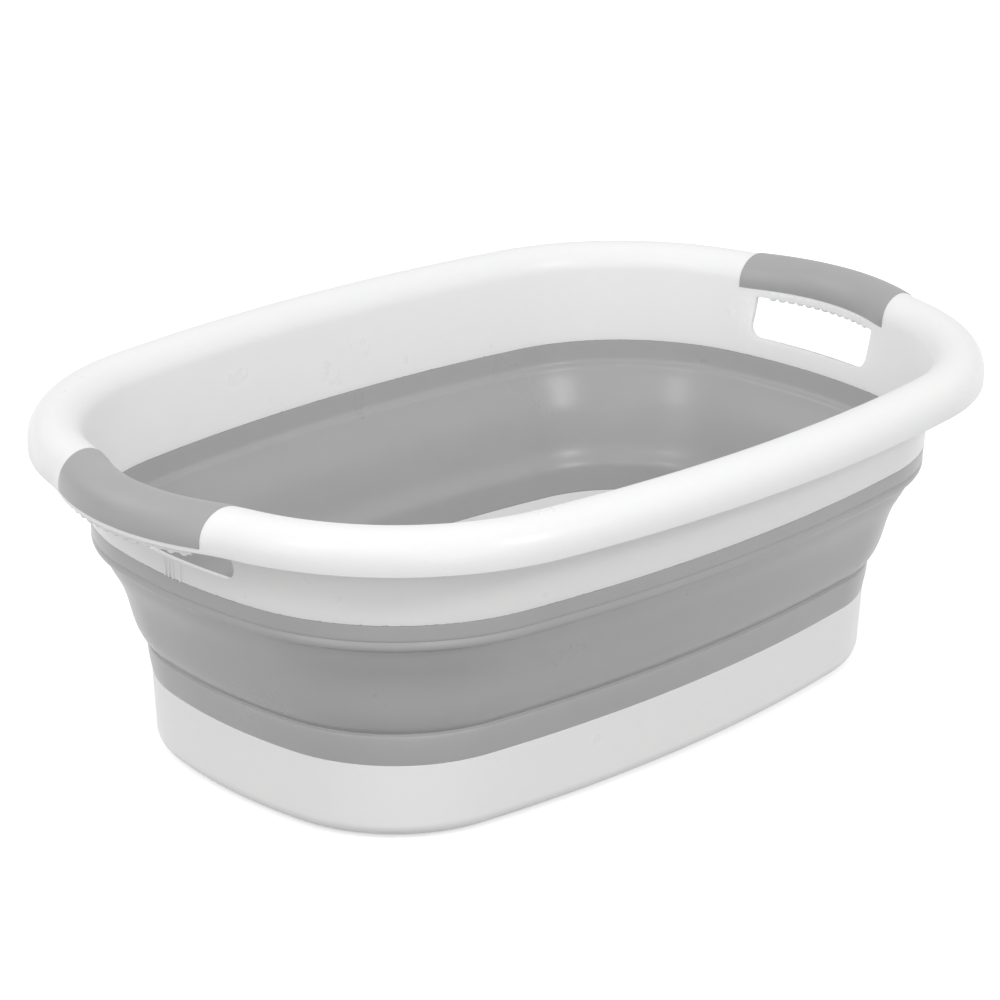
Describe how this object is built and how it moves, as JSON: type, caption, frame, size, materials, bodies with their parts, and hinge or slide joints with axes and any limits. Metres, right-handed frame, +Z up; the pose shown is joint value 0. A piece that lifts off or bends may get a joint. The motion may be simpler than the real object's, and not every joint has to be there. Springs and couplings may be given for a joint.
{
  "type": "folding pet bathtub",
  "caption": "Oval folding pet bathtub: white base and rimmed frame with two hand openings and soft grips, joined by a grey soft wall that folds flat, with a drain plug.",
  "frame": {"origin": "on the ground, under the middle of the base", "axes": "+X along the tub's length towards the right handle, +Y across it, +Z up"},
  "size_m": [0.6, 0.3998, 0.2005],
  "materials": {
    "white_plastic": "glossy moulded polypropylene, white",
    "grey_soft_plastic": "satin thermoplastic elastomer, mid grey",
    "grey_grip": "soft satin elastomer overmould, mid grey"
  },
  "bodies": {
    "base": {"base_tub": "white_plastic", "lower_wall_band": "grey_soft_plastic", "pad_front_left": "grey_soft_plastic", "pad_front_right": "grey_soft_plastic", "pad_back_left": "grey_soft_plastic", "pad_back_right": "grey_soft_plastic"},
    "fold_band": {"middle_wall_band": "grey_soft_plastic"},
    "top_frame": {"upper_frame": "white_plastic", "left_grip": "grey_grip", "right_grip": "grey_grip", "left_finger_bar": "white_plastic", "right_finger_bar": "white_plastic", "upper_wall_band": "grey_soft_plastic"},
    "plug": {"drain_plug": "grey_soft_plastic"}
  },
  "joints": [
    {"name": "collapse", "type": "slide", "parent": "base", "child": "top_frame", "axis": [0, 0, 1], "range_m": [-0.118, 0]},
    {"name": "band_fold", "type": "slide", "parent": "base", "child": "fold_band", "axis": [0, 0, 1], "range_m": [-0.059, 0]},
    {"name": "plug_lift", "type": "slide", "parent": "base", "child": "plug", "axis": [0, 0, 1], "range_m": [0, 0.05]}
  ],
  "couplings": [
    {"joint": "band_fold", "follows": "collapse", "ratio": 0.5}
  ]
}
